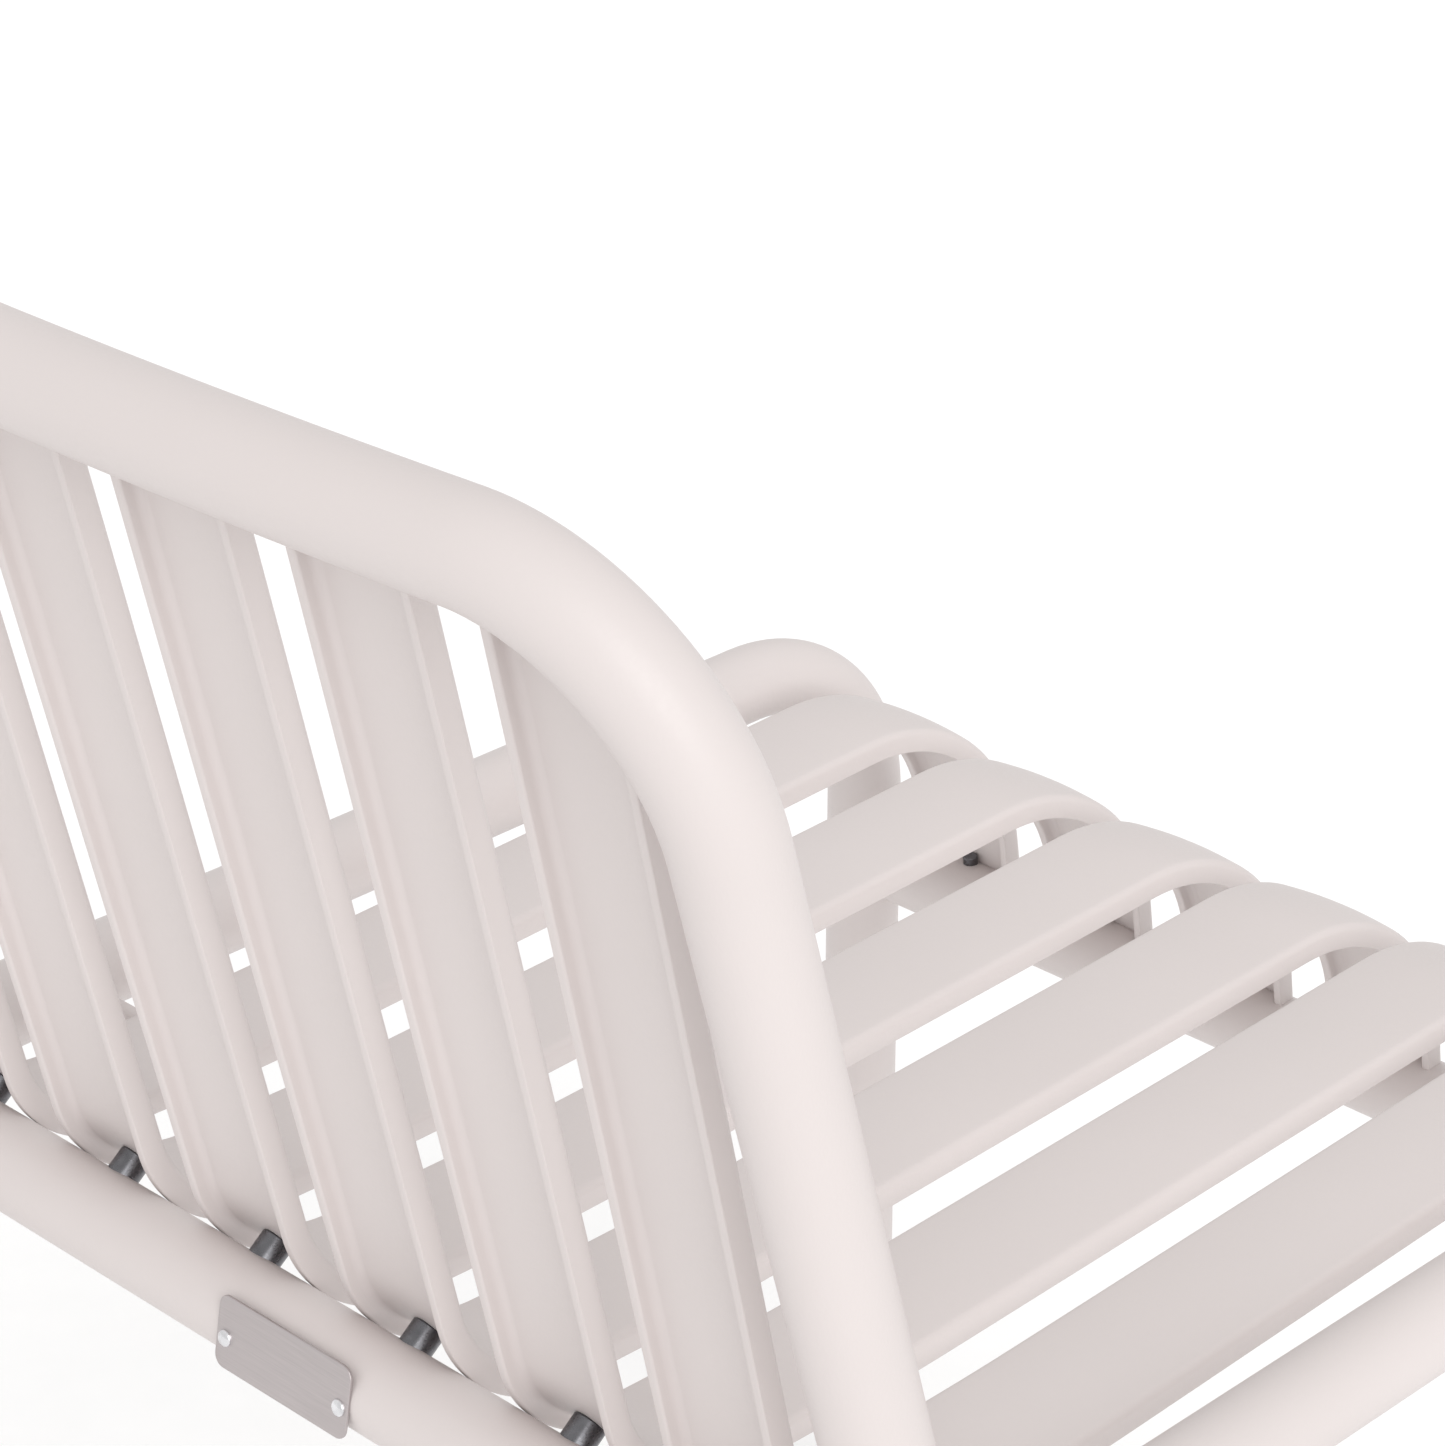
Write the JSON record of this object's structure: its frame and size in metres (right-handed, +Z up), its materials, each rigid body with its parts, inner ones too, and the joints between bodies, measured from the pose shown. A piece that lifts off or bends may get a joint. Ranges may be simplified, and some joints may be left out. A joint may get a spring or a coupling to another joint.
{
  "type": "garden chair",
  "caption": "Armless slatted metal garden seat: bent round-tube legs and back hoop carry channel slats that run unbroken down the back, over the seat and onto the front rail.",
  "frame": {"origin": "centre of the bounding box, on the floor", "axes": "+Z up, the seat faces -Y, the sitter's left is +X"},
  "size_m": [0.4966, 0.5992, 0.7863],
  "materials": {
    "frame_coat": "satin powder coat",
    "slat_coat": "satin powder coat",
    "zinc": "zinc plated",
    "steel_plate": "fine brushed",
    "rivet_metal": "bright",
    "foot_plastic": "matte moulded"
  },
  "bodies": {
    "root": {"back_hoop": "frame_coat", "foot_front_left": "foot_plastic", "foot_front_right": "foot_plastic", "foot_rear_left": "foot_plastic", "foot_rear_right": "foot_plastic", "front_rail": "frame_coat", "front_spacer_1": "zinc", "front_spacer_2": "zinc", "front_spacer_3": "zinc", "front_spacer_4": "zinc", "front_spacer_5": "zinc", "front_spacer_6": "zinc", "nameplate": "steel_plate", "plate_rivet_left": "rivet_metal", "plate_rivet_right": "rivet_metal", "rear_rail": "frame_coat", "rear_spacer_1": "zinc", "rear_spacer_2": "zinc", "rear_spacer_3": "zinc", "rear_spacer_4": "zinc", "rear_spacer_5": "zinc", "rear_spacer_6": "zinc", "side_frame_left": "frame_coat", "side_frame_right": "frame_coat", "side_spacer_left": "frame_coat", "side_spacer_right": "frame_coat", "slat_1": "slat_coat", "slat_2": "slat_coat", "slat_3": "slat_coat", "slat_4": "slat_coat", "slat_5": "slat_coat", "slat_6": "slat_coat"}
  },
  "joints": []
}
